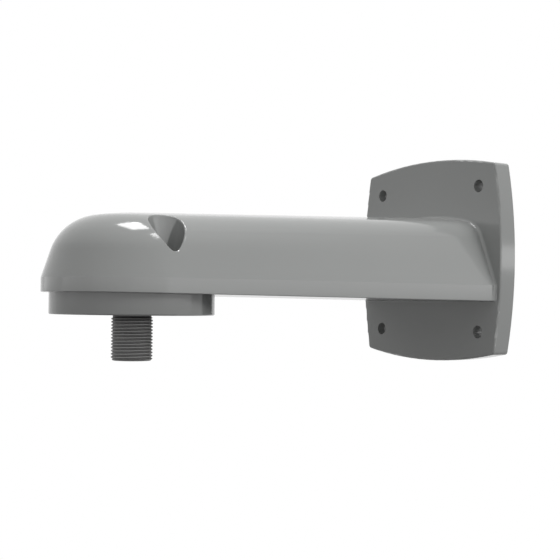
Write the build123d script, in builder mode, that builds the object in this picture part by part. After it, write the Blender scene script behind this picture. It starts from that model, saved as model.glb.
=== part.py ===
# Camera wall bracket: a cast arm with its wall plate, and a round pipe adapter
# with a threaded nipple hung under the end of the arm.
# Frame: the origin is the centre of the plate's wall face, +X points out of the
# wall along the arm and +Z is up. All sizes are in millimetres.

import os
from math import acos, atan2, cos, hypot, radians, sin, tan

from build123d import *

os.makedirs("parts", exist_ok=True)

# Wall plate: a square whose four edges bulge outwards as shallow arcs
plate_half = 70.0            # half of the square, corner to corner
plate_bulge = 7.1            # how far the middle of an edge stands out
plate_thickness = 14.5
plate_corner_radius = 3.0
plate_edge_radius = 1.4
plate_face_wall = 4.5        # metal left in front of the hollow back
plate_rim_wall = 5.0
wall_hole_spacing = 108.0
wall_hole_radius = 4.7
wall_boss_radius = 9.5
plate_rib_thickness = 3.5

# Arm: a tapered U in plan, drafted sides, a crowned roof that rises to the wall
arm_reach = 272.7            # wall face to the axis of the nipple
end_radius = 58.3            # round end of the arm at the lip
root_setback = 4.5           # the lip meets the wall this far inside the plate's bulged edge
lip_top = -19.6              # the upright band under the drafted sides starts here
underside_at_nipple = -29.2
underside_fall = 0.44        # degrees, lower towards the wall
roof_at_nipple = 23.0
roof_rise = 2.1              # degrees, higher towards the wall
crown_radius_end = 153.5     # across the arm at the nipple
crown_radius_root = 210.0    # across the arm at the wall
nose_radius = 260.0          # along the arm, past the nipple
side_draft_end = 18.0        # degrees
side_draft_root = 22.7       # degrees
shoulder_radius_end = 33.0
shoulder_radius_root = 20.0
arm_wall = 4.2
root_fillet = 2.2
lip_edge_radius = 0.6

# Screw pockets in the shoulders, one each side of the nipple
pocket_spacing = 80.4
pocket_setback = 1.2         # their line is this much nearer the wall than the nipple
pocket_radius = 11.2
pocket_floor = -10.0
pocket_wall = 3.4
pocket_rim_radius = 1.0

# Pipe adapter: a round cover let into the underside of the arm's end
adapter_radius = 53.2
adapter_bottom = -42.8
adapter_inset = 1.0          # how far its top is sunk into the arm's underside
adapter_gap = 0.3            # running gap around it in that recess
adapter_edge_radius = 0.8
adapter_rim_wall = 5.0
adapter_web = 5.0
adapter_rib_thickness = 3.5
adapter_ribs = 6
spigot_height = 5.5
spigot_gap = 0.3
hub_wall = 6.3
lug_radius = 7.5
tap_depth_past_tip = 1.5

# Threaded nipple, three-quarter inch pipe size
nipple_radius = 13.335       # at the thread's crests, where it stands free
nipple_engaged_radius = 12.5  # half way down the thread, where it meets the tapped hub
nipple_bore_radius = 10.45
nipple_bottom = -72.3
nipple_chamfer = 1.2
thread_clearance = 0.05

# Two socket screws that hold the adapter, driven from the pockets
screw_radius = 3.0
screw_head_radius = 5.0
screw_head_height = 6.0
screw_socket_flats = 5.0
screw_socket_depth = 3.0
screw_length = 28.0
screw_hole_radius = 3.4
screw_chamfer = 0.6

# Worked-out levels and distances
clear = 1.0                  # how far a cutting tool runs past a face
blank_height = 60.0          # height of the arm's blank above the lip, before the roof is cut
root_half_width = plate_half + plate_bulge - root_setback
block_half = 1.3 * root_half_width
block_depth = 3 * blank_height
adapter_top = underside_at_nipple + adapter_inset
hub_radius = nipple_engaged_radius + thread_clearance + hub_wall
nipple_top = adapter_top + spigot_height
screw_tip = pocket_floor - screw_length
screw_head_top = pocket_floor + screw_head_height
hollow_back_depth = plate_thickness - plate_face_wall
pocket_line = arm_reach - pocket_setback


def side_angle(half_width, radius):
    """Plan angle of a line from the wall at half_width that touches the end circle."""
    return acos(radius / hypot(half_width, arm_reach)) - atan2(arm_reach, half_width)


def tapered_u(level, half_width, radius):
    """Plan outline of the arm at one level, closed along the wall."""
    angle = side_angle(half_width, radius)
    tangent_x = arm_reach + radius * sin(angle)
    tangent_y = radius * cos(angle)
    with BuildSketch(Plane.XY.offset(level)) as outline:
        with BuildLine():
            Line((0, -half_width), (tangent_x, -tangent_y))
            ThreePointArc((tangent_x, -tangent_y), (arm_reach + radius, 0), (tangent_x, tangent_y))
            Line((tangent_x, tangent_y), (0, half_width))
            Line((0, half_width), (0, -half_width))
        make_face()
    return outline.sketch


def crowned_lines(crown_radius):
    """Lines across the arm: a shallow arc through the sketch's origin, with a deep block under it."""
    drop = crown_radius - (crown_radius**2 - block_half**2) ** 0.5
    ThreePointArc((-block_half, -drop), (0, 0), (block_half, -drop))
    Line((block_half, -drop), (block_half, -block_depth))
    Line((block_half, -block_depth), (-block_half, -block_depth))
    Line((-block_half, -block_depth), (-block_half, -drop))


def is_shoulder(edge):
    """True where the roof meets the sides of the arm's end, and not across the roof or down a side."""
    middle = edge @ 0.5
    lowest = min((edge @ 0).Z, (edge @ 1).Z)
    across = abs(middle.Y) < clear and middle.X < arm_reach + clear
    return lowest > lip_top + clear and not across


def arm_end(inset):
    """Round end of the arm, outwards from the nipple's axis, every face moved inwards by inset."""
    low = tapered_u(lip_top, root_half_width - inset, end_radius - inset)
    high = tapered_u(
        lip_top + blank_height,
        root_half_width - inset - blank_height * tan(radians(side_draft_root)),
        end_radius - inset - blank_height * tan(radians(side_draft_end)),
    )
    ridge = Plane(
        origin=(arm_reach, 0, roof_at_nipple - inset),
        x_dir=(0, 1, 0),
        z_dir=(cos(radians(roof_rise)), 0, -sin(radians(roof_rise))),
    )
    underside = Plane(
        origin=(arm_reach, 0, underside_at_nipple + inset),
        x_dir=(0, 1, 0),
        z_dir=(cos(radians(underside_fall)), 0, sin(radians(underside_fall))),
    )
    nose_centre = ridge.from_local_coords((0, inset - nose_radius, 0))
    with BuildPart() as roofed:
        with BuildSketch(ridge) as section:
            with BuildLine():
                crowned_lines(crown_radius_end - inset)
            make_face()
        revolve(axis=Axis(nose_centre, (0, 1, 0)), revolution_arc=90)
        extrude(section.sketch, amount=-end_radius)
    with BuildPart() as end:
        loft([low, high], ruled=True)
        add(low)
        extrude(amount=-blank_height)
        add(roofed.part, mode=Mode.INTERSECT)
        with BuildSketch(underside):
            Rectangle(2 * block_half, block_depth, align=(Align.CENTER, Align.MAX))
        extrude(amount=block_depth, both=True, mode=Mode.SUBTRACT)
        fillet(end.edges().filter_by(is_shoulder), radius=shoulder_radius_end - inset)
        split(bisect_by=Plane.YZ.offset(arm_reach), keep=Keep.TOP)
    return end.part


def root_profile(inset):
    """Section of the arm at the wall face, every edge moved inwards by inset."""
    half_width = root_half_width - inset
    roof_z = roof_at_nipple + arm_reach * tan(radians(roof_rise)) - inset
    floor_z = underside_at_nipple - arm_reach * tan(radians(underside_fall)) + inset
    narrow = half_width - blank_height * tan(radians(side_draft_root))
    with BuildSketch(Plane(origin=(0, 0, roof_z), x_dir=(0, 1, 0), z_dir=(1, 0, 0))) as profile:
        Polygon(
            (half_width, floor_z - roof_z),
            (half_width, lip_top - roof_z),
            (narrow, lip_top + blank_height - roof_z),
            (-narrow, lip_top + blank_height - roof_z),
            (-half_width, lip_top - roof_z),
            (-half_width, floor_z - roof_z),
            align=None,
        )
        with BuildLine():
            crowned_lines(crown_radius_root - inset)
        make_face(mode=Mode.INTERSECT)
        fillet(profile.vertices().group_by(Axis.Y)[-1], radius=shoulder_radius_root - inset)
    return profile.sketch


def arm_form(inset):
    """Whole arm: its round end, drawn out to the profile at the wall."""
    with BuildPart() as form:
        add(arm_end(inset))
        joint = form.faces().sort_by(Axis.X)[0]
        loft([root_profile(inset).face(), joint], ruled=True)
    return form.part


def pocket_distance(point):
    """Distance in plan from a point to the axis of the nearer screw pocket."""
    return hypot(point.X - pocket_line, abs(point.Y) - pocket_spacing / 2)


arm_inside = arm_form(arm_wall)

# Outside of the arm, with the lip's lower edge eased
with BuildPart() as arm:
    add(arm_form(0.0))
    underside = arm.faces().sort_by(Axis.Z)[0]
    lip_edges = underside.edges().filter_by(lambda edge: (edge @ 0.5).X > clear)
    fillet(lip_edges, radius=lip_edge_radius)

# The hollow of the arm stops round the two pockets, which stand in it as columns
with BuildPart() as cavity:
    add(arm_inside)
    with BuildSketch(Plane.XY.offset(lip_top - blank_height)):
        with Locations((pocket_line, 0)):
            with GridLocations(0, pocket_spacing, 1, 2):
                Circle(pocket_radius + pocket_wall)
    extrude(amount=2 * blank_height, mode=Mode.SUBTRACT)

# One casting: wall plate and arm
with BuildPart() as casting:
    with BuildSketch(Plane.YZ) as plate_outline:
        with BuildLine():
            middle = plate_half + plate_bulge
            ThreePointArc((-plate_half, -plate_half), (0, -middle), (plate_half, -plate_half))
            ThreePointArc((plate_half, -plate_half), (middle, 0), (plate_half, plate_half))
            ThreePointArc((plate_half, plate_half), (0, middle), (-plate_half, plate_half))
            ThreePointArc((-plate_half, plate_half), (-middle, 0), (-plate_half, -plate_half))
        make_face()
        fillet(plate_outline.vertices(), radius=plate_corner_radius)
    extrude(amount=plate_thickness)
    front_face = casting.faces().sort_by(Axis.X)[-1]
    fillet(front_face.edges(), radius=plate_edge_radius)

    # Hollow back with a boss round each wall hole and ribs across the bosses
    with BuildSketch(Plane.YZ):
        add(plate_outline.sketch)
        offset(amount=-plate_rim_wall)
        with GridLocations(wall_hole_spacing, wall_hole_spacing, 2, 2):
            Circle(wall_boss_radius, mode=Mode.SUBTRACT)
            Rectangle(plate_rib_thickness, 2 * middle, mode=Mode.SUBTRACT)
            Rectangle(2 * middle, plate_rib_thickness, mode=Mode.SUBTRACT)
    extrude(amount=hollow_back_depth, mode=Mode.SUBTRACT)

    # The arm grows out of the plate with a small fillet all round its root
    add(arm.part)
    front_face = casting.faces().filter_by(Plane.YZ).filter_by_position(
        Axis.X, plate_thickness - 0.01, plate_thickness + 0.01
    )[0]
    fillet(front_face.inner_wires()[0].edges(), radius=root_fillet)
    add(cavity.part, mode=Mode.SUBTRACT)

    with BuildSketch(Plane.YZ):
        with GridLocations(wall_hole_spacing, wall_hole_spacing, 2, 2):
            Circle(wall_hole_radius)
    extrude(amount=plate_thickness, mode=Mode.SUBTRACT)

    # Pockets for the adapter's screws, and the clearance holes in their floors
    with BuildSketch(Plane.XY.offset(pocket_floor)):
        with Locations((pocket_line, 0)):
            with GridLocations(0, pocket_spacing, 1, 2):
                Circle(pocket_radius)
    extrude(amount=blank_height, mode=Mode.SUBTRACT)
    pocket_rims = casting.edges().filter_by_position(Axis.Z, pocket_floor + clear, blank_height)
    pocket_rims = pocket_rims.filter_by(lambda edge: abs(pocket_distance(edge @ 0.5) - pocket_radius) < 0.001)
    fillet(pocket_rims, radius=pocket_rim_radius)
    with BuildSketch(Plane.XY.offset(pocket_floor)):
        with Locations((pocket_line, 0)):
            with GridLocations(0, pocket_spacing, 1, 2):
                Circle(screw_hole_radius)
    extrude(amount=adapter_bottom - pocket_floor, mode=Mode.SUBTRACT)

    # Shallow level recess for the adapter, and the hole for its spigot
    with BuildSketch(Plane.XY.offset(adapter_top)):
        with Locations((arm_reach, 0)):
            Circle(adapter_radius + adapter_gap)
    extrude(amount=adapter_bottom - adapter_top, mode=Mode.SUBTRACT)
    with BuildSketch(Plane.XY.offset(adapter_top)):
        with Locations((arm_reach, 0)):
            Circle(hub_radius + spigot_gap)
    extrude(amount=spigot_height + clear, mode=Mode.SUBTRACT)

casting.part.label = "bracket_casting"
export_step(casting.part, "parts/bracket_casting.step")

# Pipe adapter: a round cup, open below, with a tapped hub on ribs
with BuildPart() as adapter:
    with BuildSketch(Plane.XY.offset(adapter_bottom)):
        with Locations((arm_reach, 0)):
            Circle(adapter_radius)
    extrude(amount=adapter_top - adapter_bottom)
    fillet(adapter.edges().group_by(Axis.Z)[0], radius=adapter_edge_radius)
    with BuildSketch(Plane.XY.offset(adapter_bottom)):
        with Locations((arm_reach, 0)):
            Circle(adapter_radius - adapter_rim_wall)
            Circle(hub_radius, mode=Mode.SUBTRACT)
            with PolarLocations(0, adapter_ribs, start_angle=90):
                Rectangle(
                    adapter_radius,
                    adapter_rib_thickness,
                    align=(Align.MIN, Align.CENTER),
                    mode=Mode.SUBTRACT,
                )
        with Locations((pocket_line, 0)):
            with GridLocations(0, pocket_spacing, 1, 2):
                Circle(lug_radius, mode=Mode.SUBTRACT)
    extrude(amount=adapter_top - adapter_web - adapter_bottom, mode=Mode.SUBTRACT)
    with BuildSketch(Plane.XY.offset(adapter_top)):
        with Locations((arm_reach, 0)):
            Circle(hub_radius)
    extrude(amount=spigot_height)
    with BuildSketch(Plane.XY.offset(adapter_bottom)):
        with Locations((arm_reach, 0)):
            Circle(nipple_engaged_radius + thread_clearance)
    extrude(amount=nipple_top - adapter_bottom, mode=Mode.SUBTRACT)
    with BuildSketch(Plane.XY.offset(adapter_top)):
        with Locations((pocket_line, 0)):
            with GridLocations(0, pocket_spacing, 1, 2):
                Circle(screw_radius + thread_clearance)
    extrude(amount=screw_tip - tap_depth_past_tip - adapter_top, mode=Mode.SUBTRACT)

adapter.part.label = "pipe_adapter"
export_step(adapter.part, "parts/pipe_adapter.step")

# Nipple: a tube, stout where it stands free and slimmer where it is screwed into the hub
with BuildPart() as nipple:
    with BuildSketch(Plane.XY.offset(nipple_bottom)):
        with Locations((arm_reach, 0)):
            Circle(nipple_radius)
    extrude(amount=adapter_bottom - nipple_bottom)
    with BuildSketch(Plane.XY.offset(adapter_bottom)):
        with Locations((arm_reach, 0)):
            Circle(nipple_engaged_radius)
    extrude(amount=nipple_top - adapter_bottom)
    ends = nipple.edges().group_by(Axis.Z)
    chamfer(ends[0] + ends[-1], length=nipple_chamfer)
    with BuildSketch(Plane.XY.offset(nipple_bottom)):
        with Locations((arm_reach, 0)):
            Circle(nipple_bore_radius)
    extrude(amount=nipple_top - nipple_bottom, mode=Mode.SUBTRACT)

nipple.part.label = "threaded_nipple"
export_step(nipple.part, "parts/threaded_nipple.step")

# Two socket head screws, seated on the pocket floors and tapped into the adapter
with BuildPart() as screws:
    with Locations((pocket_line, 0, 0)):
        with GridLocations(0, pocket_spacing, 1, 2):
            with Locations((0, 0, pocket_floor)):
                Cylinder(screw_head_radius, screw_head_height, align=(Align.CENTER, Align.CENTER, Align.MIN))
                Cylinder(screw_radius, screw_length, align=(Align.CENTER, Align.CENTER, Align.MAX))
    chamfer(screws.edges().group_by(Axis.Z)[-1], length=screw_chamfer)
    chamfer(screws.edges().group_by(Axis.Z)[0], length=screw_chamfer)
    with BuildSketch(Plane.XY.offset(screw_head_top)):
        with Locations((pocket_line, 0)):
            with GridLocations(0, pocket_spacing, 1, 2):
                RegularPolygon(screw_socket_flats / 2, 6, major_radius=False)
    extrude(amount=-screw_socket_depth, mode=Mode.SUBTRACT)

screws.part.label = "adapter_screws"
export_step(screws.part, "parts/adapter_screws.step")
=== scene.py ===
from math import cos, pi, radians, sin

import bpy
import numpy as np
from mathutils import Matrix, Vector


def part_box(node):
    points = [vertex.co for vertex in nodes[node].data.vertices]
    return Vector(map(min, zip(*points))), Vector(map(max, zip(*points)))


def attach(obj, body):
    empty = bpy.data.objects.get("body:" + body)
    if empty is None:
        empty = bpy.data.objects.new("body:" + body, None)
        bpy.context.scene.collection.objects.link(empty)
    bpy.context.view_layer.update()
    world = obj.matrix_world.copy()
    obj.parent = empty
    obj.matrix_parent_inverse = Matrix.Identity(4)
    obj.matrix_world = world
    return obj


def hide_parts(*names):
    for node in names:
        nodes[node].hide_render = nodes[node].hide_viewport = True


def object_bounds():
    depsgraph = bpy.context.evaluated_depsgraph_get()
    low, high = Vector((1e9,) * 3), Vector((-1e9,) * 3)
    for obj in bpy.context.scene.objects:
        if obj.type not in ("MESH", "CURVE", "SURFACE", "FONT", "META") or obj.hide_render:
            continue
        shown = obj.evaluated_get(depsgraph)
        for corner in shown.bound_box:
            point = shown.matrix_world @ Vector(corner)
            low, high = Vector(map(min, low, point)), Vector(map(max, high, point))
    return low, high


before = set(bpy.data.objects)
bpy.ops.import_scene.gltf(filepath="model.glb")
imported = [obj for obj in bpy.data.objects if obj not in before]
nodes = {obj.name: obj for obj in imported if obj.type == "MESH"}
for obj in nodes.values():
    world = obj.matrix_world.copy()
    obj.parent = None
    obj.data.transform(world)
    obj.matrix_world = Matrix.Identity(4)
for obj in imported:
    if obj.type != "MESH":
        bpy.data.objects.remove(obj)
cadLow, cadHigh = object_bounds()
print("frame loaded:", sorted(nodes))


# Shader maths as Python expressions: a Socket knows its tree, and each operator adds one Math node
class Socket:
    def __init__(self, tree, link):
        self.tree = tree
        self.link = link

    def maths(self, operation, first, second):
        return self.tree.add("ShaderNodeMath", {"operation": operation}, {0: first, 1: second})

    def __add__(self, other):
        return self.maths("ADD", self, other)

    def __radd__(self, other):
        return self.maths("ADD", other, self)

    def __mul__(self, other):
        return self.maths("MULTIPLY", self, other)

    def __rmul__(self, other):
        return self.maths("MULTIPLY", other, self)

    def sibling(self, name):    # another output of the same node
        return Socket(self.tree, self.link.node.outputs[name])


# A node tree, emptied; add() makes any node: its type, its settings, what its sockets hold, the output wanted
class Tree:
    def __init__(self, owner):
        owner.use_nodes = True
        self.nodes = owner.node_tree.nodes
        self.links = owner.node_tree.links
        self.nodes.clear()

    def add(self, kind, settings=None, sockets=None, output=0):
        node = self.nodes.new(kind)
        for name, value in (settings or {}).items():
            if name == "stops":
                self.setStops(node.color_ramp, value)
            else:
                setattr(node, name, value)
        for key, value in (sockets or {}).items():
            if isinstance(value, Socket):
                self.links.new(value.link, node.inputs[key])
            else:
                node.inputs[key].default_value = value
        return Socket(self, node.outputs[output]) if len(node.outputs) else node

    def setStops(self, ramp, stops):
        while len(ramp.elements) < len(stops):
            ramp.elements.new(0.5)
        for element, (place, colour) in zip(ramp.elements, stops):
            element.position = place
            element.color = colour


# A colour times a factor, opaque
def rgba(colour, factor=1.0):
    return (colour[0] * factor, colour[1] * factor, colour[2] * factor, 1.0)


# Noise from 0 to 1 with scale patches to the metre, each broken up detail times more
def noise(tree, place, scale, detail):
    return tree.add("ShaderNodeTexNoise", {}, {"Vector": place, "Scale": scale, "Detail": detail})


# Colour from low to high as the factor goes from 0 to 1
def mixColour(tree, factor, low, high):
    return tree.add("ShaderNodeMix", {"data_type": "RGBA"}, {0: factor, 6: low, 7: high}, 2)


# Distance of a place from the upright line through x
def radiusFrom(tree, place, x):
    centred = tree.add("ShaderNodeVectorMath", {"operation": "SUBTRACT"}, {0: place, 1: (x, 0.0, 0.0)})
    level = tree.add("ShaderNodeVectorMath", {"operation": "MULTIPLY"}, {0: centred, 1: (1.0, 1.0, 0.0)})
    return tree.add("ShaderNodeVectorMath", {"operation": "LENGTH"}, {0: level}, "Value")


# End of every finish: a surface with these sockets, on which the noise stands out by depth
def surface(tree, marks, depth, strength, sockets):
    bump = tree.add("ShaderNodeBump", {}, {"Height": marks, "Distance": depth, "Strength": strength})
    shader = tree.add("ShaderNodeBsdfPrincipled", {}, {**sockets, "Normal": bump})
    tree.add("ShaderNodeOutputMaterial", {}, {"Surface": shader})


# A piece's slots all take the one finish
def dress(piece, material):
    piece.data.materials.clear()
    piece.data.materials.append(material)


# An object for the data, unturned at the origin
def addToScene(name, data):
    thing = bpy.data.objects.new(name, data)
    bpy.context.scene.collection.objects.link(thing)
    return thing


paintSettings = {
    "colour": (0.296, 0.303, 0.298),
    "adapterPaintedShade": 0.77,    # the adapter is a piece of its own; its paint is made darker as painted shade under the arm's lip
    "shade": 0.965,         # darkest of the faint drift of tone
    "driftScale": 22.0,     # patches of it to the metre
    "roughness": 0.10,
    "roughDrift": 0.03,
    "peelScale": 210.0,     # orange peel cells to the metre
    "peelDepth": 0.0000015,
    "peelStrength": 1.0,
}


# Smooth glossy paint: colour = tone * mix(shade * colour, colour, drift), where a tone below 1 is painted
# shade, roughness = roughness + roughDrift * drift, and a fine noise raises it into an orange peel that only
# the highlights show
def makePaint(name, tone=1.0):
    s = paintSettings
    material = bpy.data.materials.new(name)
    tree = Tree(material)
    place = tree.add("ShaderNodeTexCoord", output="Object")
    drift = noise(tree, place, s["driftScale"], 3.0)
    peel = noise(tree, place, s["peelScale"], 1.0)
    surface(tree, peel, s["peelDepth"], s["peelStrength"], {
        "Base Color": mixColour(tree, drift, rgba(s["colour"], tone * s["shade"]), rgba(s["colour"], tone)),
        "Roughness": s["roughness"] + s["roughDrift"] * drift,
    })
    return material


dress(nodes["bracket_casting"], makePaint("bracket_paint"))
# Painted shade: the adapter takes the casting's paint, made darker
dress(nodes["pipe_adapter"], makePaint("adapter_paint", paintSettings["adapterPaintedShade"]))
print("casting and adapter painted")


screwSettings = {
    "colour": (0.34, 0.335, 0.33),
    "worn": 0.75,           # tone of its darker marks
    "markScale": 900.0,
    "markDepth": 0.000006,
    "markStrength": 0.5,
    "roughness": 0.44,
    "roughDrift": 0.12,
}


# Plain steel: colour = mix(worn * colour, colour, marks), roughness = roughness + roughDrift * marks, and the
# same marks make it slightly uneven
def makeScrewSteel(name):
    s = screwSettings
    material = bpy.data.materials.new(name)
    tree = Tree(material)
    place = tree.add("ShaderNodeTexCoord", output="Object")
    marks = noise(tree, place, s["markScale"], 3.0)
    surface(tree, marks, s["markDepth"], s["markStrength"], {
        "Base Color": mixColour(tree, marks, rgba(s["colour"], s["worn"]), rgba(s["colour"])),
        "Metallic": 1.0,
        "Roughness": s["roughness"] + s["roughDrift"] * marks,
    })
    return material


dress(nodes["adapter_screws"], makeScrewSteel("screw_steel"))
print("screws finished")


nippleSettings = {
    "pitch": 0.00206,
    "depth": 0.00088,
    "gain": 0.85,           # over 0.5, the wave is cut off into a crest and a root, with flanks between
    "crestShare": 0.10,     # moves the cut so that the crests are wider than the roots
    "relief": 0.0014,       # length of the plain neck against the adapter, which is as deep as the roots
    "reliefFade": 0.0007,
    "bevel": 0.0012,
    "bore": 0.01045,        # radius
    "seatedRadius": 0.0125,
    "around": 128,          # columns of the mesh round the axis
    "perPitch": 20,         # rows of it to a pitch
    "sharpAngle": 42.0,     # degrees between two faces whose edge stays sharp
    "crest": (0.205, 0.204, 0.201),     # dark steel, lighter on the crests where it is rubbed; the darker roots are partly painted shade in the grooves
    "root": (0.105, 0.105, 0.104),
    "metal": 0.55,
    "roughness": 0.44,
    "roughDrift": 0.06,
    "stainScale": 90.0,
    "stainShare": 0.08,     # most of the rubbing that a stain hides
    "adapterShadeReach": 0.006,     # painted shade: the threads darken next to the adapter, which shades them
    "adapterShadeTone": 0.35,
    "dieScale": 2200.0,     # fine rings left by the die
    "dieDepth": 0.000004,
    "dieStrength": 0.5,
}


# Steel of the thread: colour = mix(root, crest, flank) times a painted shade that falls to its darkest at the
# adapter, at z = seat, where flank is the height up the flank; the darker roots are partly painted shade in the
# grooves. The rings are a noise of (radius, z) alone, so they run round the axis as the die leaves them
def makeThreadSteel(name, axisX, crestRadius, seat):
    s = nippleSettings
    material = bpy.data.materials.new(name)
    tree = Tree(material)
    place = tree.add("ShaderNodeTexCoord", output="Object")
    radius = radiusFrom(tree, place, axisX)
    upright = tree.add("ShaderNodeSeparateXYZ", {}, {0: place}, "Z")
    flank = tree.add("ShaderNodeMapRange", {"clamp": True}, {
        "Value": radius, "From Min": crestRadius - s["depth"], "From Max": crestRadius,
        "To Min": 0.0, "To Max": 1.0,
    })
    # Painted shade: the threads darken towards the adapter
    adapterShadeFactor = tree.add("ShaderNodeMapRange", {"clamp": True}, {
        "Value": upright, "From Min": seat, "From Max": seat - s["adapterShadeReach"],
        "To Min": s["adapterShadeTone"], "To Max": 1.0,
    })
    section = tree.add("ShaderNodeCombineXYZ", {}, {"X": radius, "Z": upright})
    rings = noise(tree, section, s["dieScale"], 2.0)
    stain = noise(tree, place, s["stainScale"], 2.0)
    # Lighter crests for rubbing; the darker roots are also painted shade in the grooves
    rubbedAndShaded = flank * (1.0 - s["stainShare"] + s["stainShare"] * stain)
    colour = mixColour(tree, rubbedAndShaded, rgba(s["root"]), rgba(s["crest"]))
    surface(tree, rings, s["dieDepth"], s["dieStrength"], {
        "Base Color": mixColour(tree, adapterShadeFactor, rgba((0.0, 0.0, 0.0)), colour),
        "Metallic": s["metal"],
        "Roughness": s["roughness"] + s["roughDrift"] * stain,
    })
    return material


# Quads of a grid that closes on itself both ways: rows follow the wall's outline, columns go round the axis
def closedGridMesh(name, points, sharpAngle):
    rows, columns = points.shape[:2]
    row, column = np.meshgrid(np.arange(rows), np.arange(columns), indexing="ij")
    nextRow = (row + 1) % rows
    nextColumn = (column + 1) % columns
    faces = np.stack([
        row * columns + column,
        row * columns + nextColumn,
        nextRow * columns + nextColumn,
        nextRow * columns + column,
    ], axis=-1).reshape(-1, 4)
    mesh = bpy.data.meshes.new(name)
    mesh.from_pydata(points.reshape(-1, 3).tolist(), [], faces.tolist())
    mesh.polygons.foreach_set("use_smooth", np.ones(len(faces), bool))
    mesh.set_sharp_from_angle(angle=radians(sharpAngle))
    mesh.update()
    return mesh


# Pipe nipple: the outline of the tube's wall carried round the axis. On the free stretch
#     radius = crest radius - depth * (1 - lift * neck), and at most what the bevel leaves at the free end,
# where lift is the smooth step of 0.5 + gain * (cos(z / pitch - turn, in whole turns) + crestShare), so the
# ridge climbs one pitch a turn, right-handed, and neck falls from 1 to 0 below the adapter. The stretch that is
# seated in the adapter, the bevel at its top and the bore are straight lines.
def makeNipple(name, low, high, seat):
    s = nippleSettings
    axisX = (low.x + high.x) / 2
    crestRadius = (high.x - low.x) / 2
    turn = np.linspace(0.0, 1.0, s["around"], endpoint=False)
    rows = int(round((seat - low.z) / s["pitch"] * s["perPitch"]))
    z, around = np.meshgrid(np.linspace(low.z, seat, rows), turn, indexing="ij")
    wave = np.cos(2 * pi * (z / s["pitch"] - around))
    cut = np.clip(0.5 + s["gain"] * (wave + s["crestShare"]), 0.0, 1.0)
    lift = cut * cut * (3.0 - 2.0 * cut)
    neck = np.clip((seat - s["relief"] - z) / s["reliefFade"], 0.0, 1.0)
    free = crestRadius - s["depth"] * (1.0 - lift * neck)
    free = np.minimum(free, crestRadius - s["bevel"] + (z - low.z))
    seated = s["seatedRadius"]
    straight = np.array([
        (seated, seat),
        (seated, high.z - s["bevel"]),
        (seated - s["bevel"], high.z),
        (s["bore"], high.z),
        (s["bore"], (high.z + low.z) / 2),
        (s["bore"], low.z),
    ])
    radius = np.concatenate([free, np.repeat(straight[:, :1], s["around"], axis=1)])
    height = np.concatenate([z, np.repeat(straight[:, 1:], s["around"], axis=1)])
    angle = 2 * pi * turn
    points = np.stack([axisX + radius * np.cos(angle), radius * np.sin(angle), height], axis=-1)
    nipple = addToScene(name, closedGridMesh(name, points, s["sharpAngle"]))
    dress(nipple, makeThreadSteel("nipple_steel", axisX, crestRadius, seat))
    return nipple


nippleLow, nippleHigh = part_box("threaded_nipple")
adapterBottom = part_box("pipe_adapter")[0].z
nipple = makeNipple("nipple_thread", nippleLow, nippleHigh, adapterBottom)
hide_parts("threaded_nipple")
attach(nipple, "root")
print("nipple threaded:", len(nipple.data.polygons), "faces")


# The photograph's camera, fitted to the plate, its holes, the arm's edges and the adapter
cameraSettings = {
    "place": (0.63151, 0.66409, -0.03453),
    "yaw": 35.631,          # degrees, turned from facing -Y towards -X
    "pitch": 1.161,         # degrees, looking up
    "roll": 0.632,          # degrees
    "focalPixels": 1158.42,
    "imagePixels": 560,
    "sensor": 36.0,         # mm
    "near": 0.01,
    "far": 50.0,
}


# Level axes turned by the yaw, then tilted up by the pitch, then turned about the line of sight by the roll
def makeCamera():
    s = cameraSettings
    yaw, pitch, roll = radians(s["yaw"]), radians(s["pitch"]), radians(s["roll"])
    forward = np.array([-sin(yaw), -cos(yaw), 0.0])
    right = np.array([-cos(yaw), sin(yaw), 0.0])
    up = np.array([0.0, 0.0, 1.0])
    ahead = forward * cos(pitch) + up * sin(pitch)
    raised = up * cos(pitch) - forward * sin(pitch)
    across = right * cos(roll) + raised * sin(roll)
    top = raised * cos(roll) - right * sin(roll)
    data = bpy.data.cameras.new("camera")
    data.sensor_width = s["sensor"]
    data.lens = s["sensor"] * s["focalPixels"] / s["imagePixels"]
    data.clip_start = s["near"]
    data.clip_end = s["far"]
    camera = addToScene("camera", data)
    turned = Matrix(np.column_stack([across, top, -ahead]).tolist())
    camera.matrix_world = Matrix.Translation(s["place"]) @ turned.to_4x4()
    bpy.context.scene.camera = camera


# Rays of the camera, of mirror surfaces and of clear ones find white; the rest carry light to matt surfaces
def whiteRays(tree):
    path = tree.add("ShaderNodeLightPath", output="Is Camera Ray")
    return path + path.sibling("Is Glossy Ray") + path.sibling("Is Transmission Ray")


floorSettings = {
    "drop": 1.2,            # the bracket hangs on a wall, so the floor is well below it
    "halfSize": 2.0,
    "fadeFrom": 0.9,        # radius at which the floor starts to fade out into the white behind it
    "fadeTo": 1.9,
    "colour": (0.80, 0.80, 0.80),
    "glow": 0.10,           # brings the lit floor up to white for the camera; a shadow still shows on it
    "bounce": 0.25,         # how much of the light it sends back up to matt surfaces
}


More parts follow.
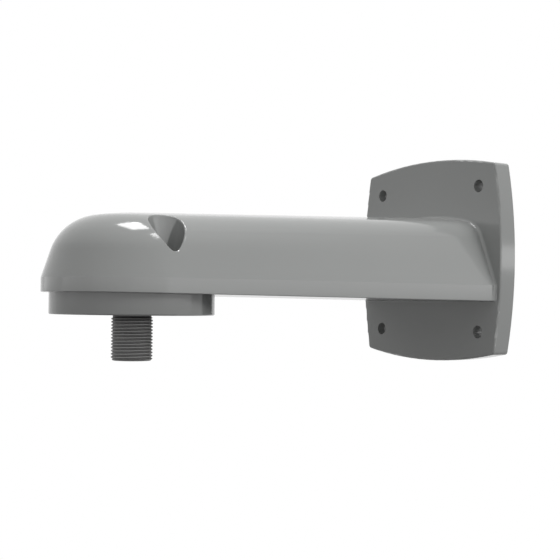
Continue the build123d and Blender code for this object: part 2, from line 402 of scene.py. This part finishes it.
# Pale floor that keeps the bracket's soft shadow; its rim is transparent by a smooth step of the radius
def makeFloor():
    s = floorSettings
    z = cadLow.z - s["drop"]
    half = s["halfSize"]
    mesh = bpy.data.meshes.new("floor")
    corners = [(-half, -half, z), (half, -half, z), (half, half, z), (-half, half, z)]
    mesh.from_pydata(corners, [], [(0, 1, 2, 3)])
    floor = addToScene("floor", mesh)
    material = bpy.data.materials.new("floor_pale")
    tree = Tree(material)
    place = tree.add("ShaderNodeTexCoord", output="Object")
    fade = tree.add("ShaderNodeMapRange", {"interpolation_type": "SMOOTHSTEP"}, {
        "Value": radiusFrom(tree, place, 0.0), "From Min": s["fadeFrom"], "From Max": s["fadeTo"],
        "To Min": 0.0, "To Max": 1.0,
    })
    pale = tree.add("ShaderNodeBsdfDiffuse", {}, {"Color": rgba(s["colour"])})
    glow = tree.add("ShaderNodeEmission", {}, {"Color": rgba((1.0, 1.0, 1.0)), "Strength": s["glow"]})
    seen = tree.add("ShaderNodeAddShader", {}, {0: pale, 1: glow})
    dim = tree.add("ShaderNodeBsdfDiffuse", {}, {"Color": rgba(s["colour"], s["bounce"])})
    solid = tree.add("ShaderNodeMixShader", {}, {0: whiteRays(tree), 1: dim, 2: seen})
    clear = tree.add("ShaderNodeBsdfTransparent")
    faded = tree.add("ShaderNodeMixShader", {}, {0: fade, 1: solid, 2: clear})
    tree.add("ShaderNodeOutputMaterial", {}, {"Surface": faded})
    dress(floor, material)


worldSettings = {
    "stops": [              # sine of the height over the horizon, and the light on matt surfaces from there
        (-1.0, 0.10),
        (0.0, 0.10),
        (0.10, 0.22),
        (0.25, 0.66),
        (0.70, 0.71),
        (0.85, 0.12),
        (1.0, 0.05),
    ],
}


# World: white behind everything, and for matt surfaces a soft light that depends on the height alone
def makeWorld():
    s = worldSettings
    world = bpy.data.worlds.new("studio")
    bpy.context.scene.world = world
    tree = Tree(world)
    direction = tree.add("ShaderNodeTexCoord", output="Generated")
    rise = tree.add("ShaderNodeSeparateXYZ", {}, {0: direction}, "Z")
    stops = [(height * 0.5 + 0.5, rgba((light, light, light))) for height, light in s["stops"]]
    soft = tree.add("ShaderNodeValToRGB", {"stops": stops}, {"Fac": rise * 0.5 + 0.5})
    light = tree.add("ShaderNodeBackground", {}, {"Color": soft, "Strength": 1.0})
    white = tree.add("ShaderNodeBackground", {}, {"Color": rgba((1.0, 1.0, 1.0)), "Strength": 1.0})
    mixed = tree.add("ShaderNodeMixShader", {}, {0: whiteRays(tree), 1: light, 2: white})
    tree.add("ShaderNodeOutputWorld", {}, {"Surface": mixed})


# Soft boxes: where each stands, what it faces, its width and height, and whether the paint mirrors it
lampSettings = {
    "side": {
        "place": (-0.98, 2.15, 1.22), "aim": (0.16, 0.0, 0.0),
        "size": (1.4, 1.0), "watts": 24.0, "mirrored": False,
    },
    "high": {
        "place": (-0.45, 1.27, 2.75), "aim": (0.16, 0.0, 0.0),
        "size": (0.50, 0.66), "watts": 11.0, "mirrored": True,
    },
    "overhead": {
        "place": (0.09, -0.29, 3.0), "aim": (0.09, -0.29, 0.0),
        "size": (0.84, 1.22), "watts": 43.0, "mirrored": True,
    },
}


# A box is turned so that its -Z looks from its place to its aim; the camera doesn't see it
def makeLamp(name, s):
    data = bpy.data.lights.new(name, "AREA")
    data.shape = "RECTANGLE"
    data.size, data.size_y = s["size"]
    data.energy = s["watts"]
    lamp = addToScene(name, data)
    facing = (Vector(s["aim"]) - Vector(s["place"])).to_track_quat("-Z", "Y").to_matrix()
    lamp.matrix_world = Matrix.Translation(s["place"]) @ facing.to_4x4()
    lamp.visible_glossy = s["mirrored"]
    lamp.visible_camera = False


# Row of long low boxes round the side that is photographed, mirrored by the upright lip of the arm
stripSettings = {
    "centre": (0.16, 0.0),
    "distance": 2.2,
    "bearings": (-55.0, -10.0, 35.0, 80.0, 125.0),      # degrees from +X towards +Y
    "watts": (0.75, 1.6, 1.9, 2.1, 2.9),
    "bottom": -0.008,
    "size": (1.82, 0.20),
}


# The strips stand on an arc round their centre, at centre + distance * (cos bearing, sin bearing), and face it
def makeLamps():
    for name, s in lampSettings.items():
        makeLamp(name, s)
    s = stripSettings
    height = s["bottom"] + s["size"][1] / 2
    for index, (bearing, watts) in enumerate(zip(s["bearings"], s["watts"])):
        x = s["centre"][0] + s["distance"] * cos(radians(bearing))
        y = s["centre"][1] + s["distance"] * sin(radians(bearing))
        makeLamp(f"strip_{index}", {
            "place": (x, y, height), "aim": (*s["centre"], height),
            "size": s["size"], "watts": watts, "mirrored": True,
        })


makeCamera()
makeFloor()
makeWorld()
makeLamps()
bpy.context.scene.view_settings.view_transform = "Standard"
print("camera, floor, world and lamps placed")
